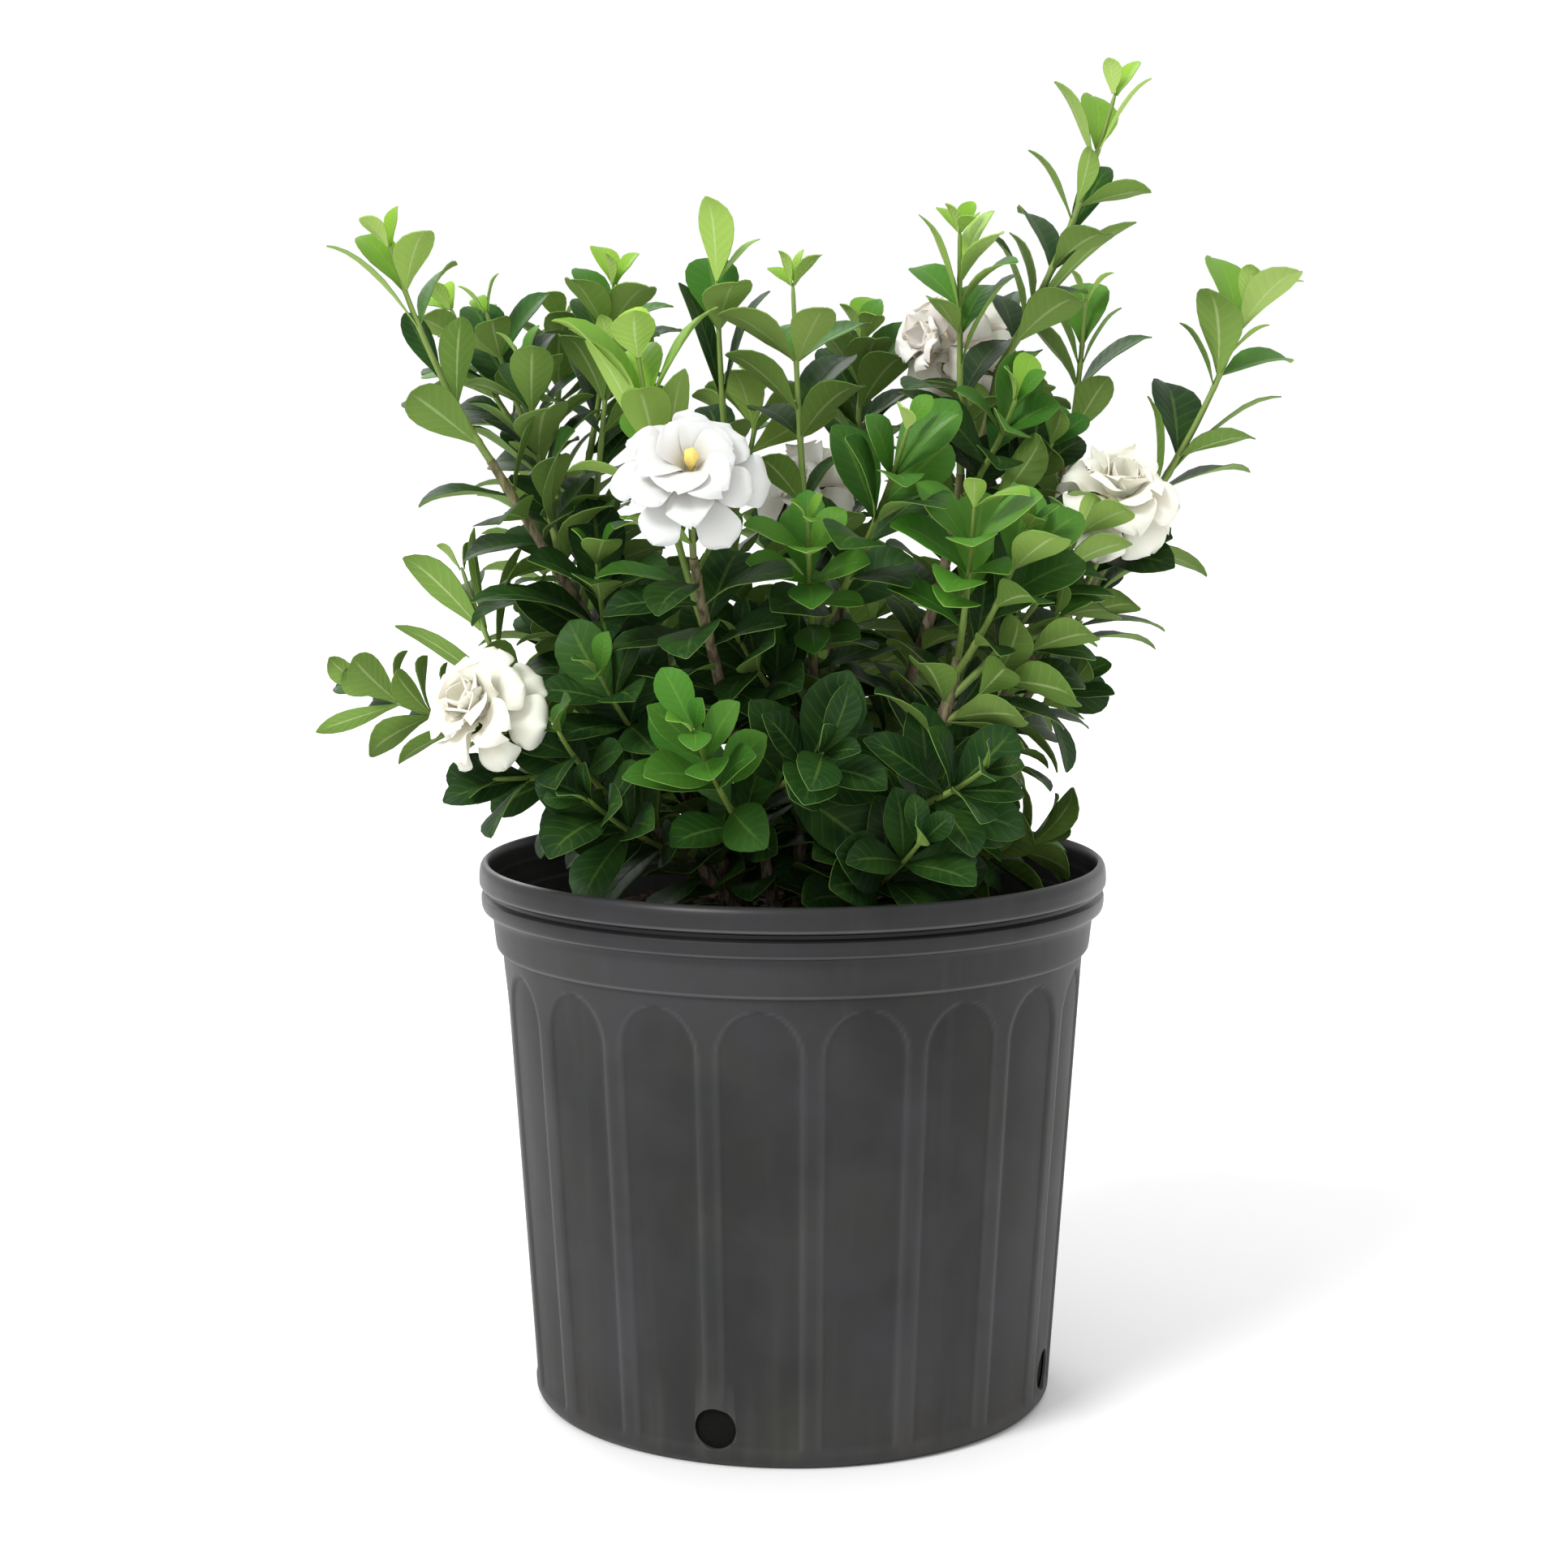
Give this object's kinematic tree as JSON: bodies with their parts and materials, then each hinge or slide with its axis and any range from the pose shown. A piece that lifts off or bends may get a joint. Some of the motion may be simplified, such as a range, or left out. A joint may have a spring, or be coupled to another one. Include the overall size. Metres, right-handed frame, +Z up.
{
  "type": "potted gardenia",
  "caption": "Potted gardenia shrub: glossy dark leaves and white double blooms on woody stems that stand in soil in a ribbed nursery pot.",
  "frame": {"origin": "centre of the pot's flat base, on the ground", "axes": "+Z up along the pot's axis, -Y the side that faces the camera, +X to the viewer's right"},
  "size_m": [0.4271, 0.3361, 0.5899],
  "materials": {
    "pot": "moulded charcoal grey plastic with a dull sheen, faint streaks and dust",
    "soil": "dark bark and peat potting mix",
    "bark": "grey-brown bark, greener towards the tips",
    "leaf": "glossy green upper face, paler matte underside, lighter midrib; youngest leaves yellow-green",
    "petal": "matte white petals that age to cream with tan edges",
    "stigma": "matte yellow"
  },
  "bodies": {
    "root": {"pot": "pot", "woody_stems": "bark", "soil": "soil", "bloom_front": "petal", "bloom_left": "petal", "bloom_right": "petal", "bloom_upper": "petal", "bloom_back": "petal", "bloom_front_stigma": "stigma", "shoot_left_high": "leaf", "shoot_left_inner": "leaf", "shoot_left_inner_back": "leaf", "shoot_left_back_low": "leaf", "shoot_left_back_high": "leaf", "shoot_left_rear": "leaf", "shoot_left_crown": "leaf", "shoot_pale_left": "leaf", "shoot_centre_tall": "leaf", "shoot_centre_front": "leaf", "shoot_centre_back": "leaf", "shoot_centre_left_back": "leaf", "shoot_front_right": "leaf", "shoot_front_small": "leaf", "shoot_right_upright": "leaf", "shoot_right_tallest": "leaf", "shoot_right_back_high": "leaf", "shoot_right_inner": "leaf", "shoot_right_reach": "leaf", "shoot_far_right_high": "leaf", "shoot_right_pale_a": "leaf", "shoot_right_pale_b": "leaf", "shoot_right_pale_c": "leaf", "shoot_right_dark": "leaf", "shoot_right_mid": "leaf", "shoot_right_low_outer": "leaf", "shoot_right_low_front": "leaf", "shoot_pot_right": "leaf", "shoot_left_up": "leaf", "shoot_left_out": "leaf", "shoot_left_spur": "leaf", "shoot_left_under": "leaf", "shoot_left_bright": "leaf", "shoot_left_low_front": "leaf", "shoot_left_low_rim": "leaf", "shoot_front_low": "leaf", "shoot_centre_dark": "leaf", "shoot_front_dark": "leaf", "shoot_front_centre_dark": "leaf", "shoot_back_low_left": "leaf", "shoot_back_top": "leaf", "shoot_back_side": "leaf", "shoot_back_left_top": "leaf", "shoot_back_left_low": "leaf", "shoot_back_right_top": "leaf", "shoot_back_right_low": "leaf", "shoot_below_bloom_front": "leaf", "shoot_below_bloom_left": "leaf", "shoot_below_bloom_right": "leaf", "shoot_below_bloom_upper": "leaf", "shoot_below_bloom_back": "leaf"}
  },
  "joints": []
}
